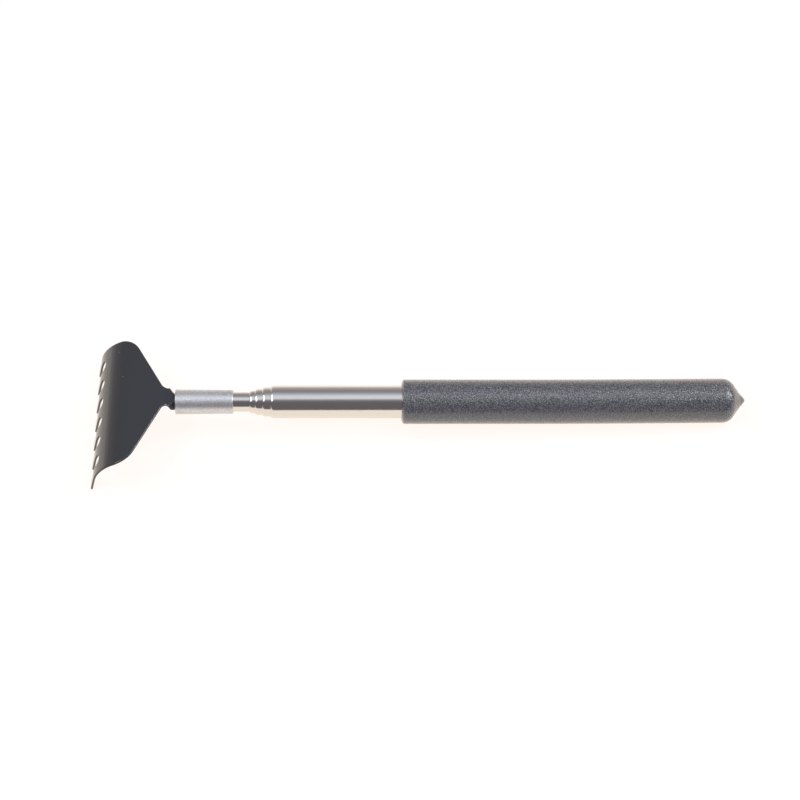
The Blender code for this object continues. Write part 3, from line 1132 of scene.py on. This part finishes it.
@dataclass
class HiddenPieces:
    """The turned and pressed pieces inside, whose shapes come from the model as they are."""

    finishes: dict[str, Finishes] = field(
        default_factory=lambda: {
            "tail_bush": Finishes.brass,
            "friction_shell": Finishes.bronze,
            "end_plug": Finishes.plug_plastic,
        }
    )

    def build(self) -> list[Object]:
        """Gives each of these nodes its finish.

        Returns:
            The nodes.
        """
        dressed = []
        for name, node in sorted(frame["nodes"].items()):
            for start, finish in self.finishes.items():
                if name.startswith(start):
                    node.data.materials.clear()
                    node.data.materials.append(finish.value.material())
                    dressed.append(node)
                    log.info("%s: from the model, in %s", name, finish.value.name)
        return dressed


# Studio


@dataclass(frozen=True)
class Softbox:
    """A flat soft lamp that faces the tool from a given direction."""

    name: str
    direction: Triple
    distance: float
    width: float
    depth: float
    radiance: float
    colour: str = "FFFFFF"
    glint: bool = False

    def build(self) -> Object:
        """Hangs the lamp; its width lies level and its depth across that.

        Returns:
            The lamp.
        """
        light = bpy.data.lights.new(self.name, "AREA")
        light.shape = "RECTANGLE"
        light.size = self.width
        light.size_y = self.depth
        light.energy = self.radiance * math.pi * self.width * self.depth
        light.color = linear(self.colour)[:3]
        lamp = bpy.data.objects.new(self.name, light)
        lamp.visible_diffuse = not self.glint
        away = Vector(self.direction).normalized()
        facing = away.to_track_quat("Z", "Y").to_matrix().to_4x4()
        lamp.matrix_world = Matrix.Translation(away * self.distance) @ facing
        bpy.context.scene.collection.objects.link(lamp)
        return lamp


@dataclass
class Studio:
    """A white table in a dim room, with a soft lamp overhead, one at each side and three glints."""

    table_front: float = 0.16
    table_side: float = 3.0
    fill: float = 0.27
    # Colour and glow of the table to light, in gloss and to the camera.
    table_colour: tuple[str, str, str] = ("E7E7E7", "A0A0A0", "556979")
    table_glow: tuple[Triple, ...] = (
        (0.0, 0.0, 0.0),
        (1.08, 0.94, 0.80),
        (1.0, 0.905, 0.85),
    )
    # The glints are small and bright, and light only gloss: rolled mouths and the claw's edges.
    lamps: tuple[Softbox, ...] = (
        Softbox("overhead_lamp", (0.0, -0.06, 1.0), 1.0, 1.3, 0.42, 1.02, "F6FAFF"),
        Softbox("left_lamp", (-0.60, -0.06, 0.80), 1.2, 0.84, 0.45, 3.7),
        Softbox("right_lamp", (0.64, -0.03, 0.76), 1.2, 0.74, 0.6, 3.4),
        Softbox("left_glint", (-0.58, 0.08, 0.81), 1.19, 0.6, 0.08, 5.0, "FFEFDC", glint=True),
        Softbox("right_glint", (0.58, 0.10, 0.81), 1.19, 0.4, 0.22, 13.0, glint=True),
        Softbox("low_glint", (0.86, 0.10, 0.50), 1.19, 0.2, 0.15, 28.0, glint=True),
    )

    def room_bands(self) -> list[tuple[float, tuple[float, ...]]]:
        """Lists the room's brightness from the front horizon over the top to the back horizon.

        Returns:
            Each band's place from 0 to 1 and its colour.
        """
        bands = [
            (0, "7B7477"),
            (47, "7B7477"),
            (59, "868387"),
            (65.5, "9E9EA7"),
            (72, "C8C9D2"),
            (74.5, "D8DAE2"),
            # Light behind a lamp shows through it, so little is left where the overhead lamp hangs.
            (75, "505055"),
            (98.5, "505055"),
            (99, "F2F8FF"),
            (109, "D6DBE8"),
            (117, "BCC1CD"),
            (127, "A3A6AF"),
            (139, "A19E9F"),
            (148, "B5AFAF"),
            (159, "C8C0BE"),
            (167.5, "D2C8C1"),
            (168.5, "F2EAE0"),
        ]
        return [(angle / 180, linear(colour)) for angle, colour in bands]

    def world(self) -> bpy.types.World:
        """Builds the room: even fill for dull surfaces, and its own bright and dark parts for gloss.

        Returns:
            The room.
        """
        world = bpy.data.worlds.new("room")
        world.use_nodes = True
        tree = world.node_tree
        sky = tree.nodes["Background"]
        place = add_node(tree, "TexCoord", {})
        axes = add_node(tree, "SeparateXYZ", {"Vector": place.outputs["Generated"]})
        ahead = add_node(tree, "Math", {0: axes.outputs["Y"], 1: -1.0}, operation="MULTIPLY")
        angle = add_node(tree, "Math", {0: axes.outputs["Z"], 1: ahead}, operation="ARCTAN2")
        share = add_node(tree, "Math", {0: angle, 1: math.pi}, operation="DIVIDE")
        bands = add_node(tree, "ValToRGB", {"Fac": share})
        set_stops(bands.color_ramp, self.room_bands())
        fill = (self.fill, self.fill, self.fill, 1.0)
        white = (1.0, 1.0, 1.0, 1.0)
        feed(tree, sky, {"Color": pick_by_ray(tree, fill, bands, white)})
        bpy.context.scene.world = world
        return world

    def floor(self) -> Object:
        """Builds the white table, which looks white to the camera and in gloss and keeps soft shadows.

        Returns:
            The table.
        """
        shape = bmesh.new()
        bmesh.ops.create_grid(shape, x_segments=1, y_segments=1, size=self.table_side / 2)
        middle = self.table_side / 2 - self.table_front
        bmesh.ops.translate(shape, verts=shape.verts[:], vec=(0, middle, 0))
        mesh = bpy.data.meshes.new("floor")
        shape.to_mesh(mesh)
        shape.free()
        material = bpy.data.materials.new("white_table")
        material.use_nodes = True
        tree = material.node_tree
        tree.nodes.remove(tree.nodes["Principled BSDF"])
        colours = [linear(colour) for colour in self.table_colour]
        glows = [(*glow, 1.0) for glow in self.table_glow]
        dull = add_node(tree, "BsdfDiffuse", {"Color": pick_by_ray(tree, *colours)})
        light = add_node(tree, "Emission", {"Color": pick_by_ray(tree, *glows)})
        both = add_node(tree, "AddShader", {0: dull, 1: light})
        feed(tree, tree.nodes["Material Output"], {"Surface": both})
        mesh.materials.append(material)
        floor = bpy.data.objects.new("floor", mesh)
        bpy.context.scene.collection.objects.link(floor)
        return floor

    def build(self) -> None:
        """Sets up the room, the table and the lamps."""
        self.world()
        self.floor()
        for lamp in self.lamps:
            lamp.build()


@dataclass
class Camera:
    """The camera, which looks down along +Y at the collapsed tool, a little turned and rolled."""

    elevation: float = 55.35
    turn: float = 0.56
    roll: float = -0.83
    distance: float = 612.3 * MM
    lens: float = 90.86
    clip_start: float = 0.01
    target: Vector = field(default_factory=lambda: Vector((-5.67, 2.37, 8.0)) * MM)

    def build(self) -> Object:
        """Places the camera and makes it the scene's.

        Returns:
            The camera.
        """
        data = bpy.data.cameras.new("camera")
        data.lens = self.lens
        data.clip_start = self.clip_start
        camera = bpy.data.objects.new("camera", data)
        look = Matrix.Rotation((90 - self.elevation) * DEGREE, 4, "X")
        aim = Matrix.Translation(self.target) @ look @ Matrix.Rotation(self.roll * DEGREE, 4, "Z")
        place = Matrix.Rotation(-self.turn * DEGREE, 4, "Z") @ aim
        camera.matrix_world = place @ Matrix.Translation((0, 0, self.distance))
        bpy.context.scene.collection.objects.link(camera)
        bpy.context.scene.camera = camera
        return camera


def main() -> None:
    """Builds the studio and every piece of the tool."""
    logging.basicConfig(level=logging.INFO, format="%(name)s %(message)s")
    bpy.context.scene.view_settings.view_transform = "Standard"
    Camera().build()
    Studio().build()
    Claw().build()
    Ferrule().build()
    tubes = (
        SlidingTube("inner_tube", "claw_head", None),
        SlidingTube("second_tube", "stage_2", "inner_tube"),
        SlidingTube("third_tube", "stage_3", "second_tube", mouth_forward=0.18 * MM),
        SlidingTube("fourth_tube", "stage_4", "third_tube", mouth_forward=0.36 * MM),
        SlidingTube("outer_tube", "handle", "fourth_tube", mouth_forward=0.3 * MM),
    )
    for tube in tubes:
        tube.build()
    Grip().build()
    HiddenPieces().build()


if __name__ == "__main__":
    main()
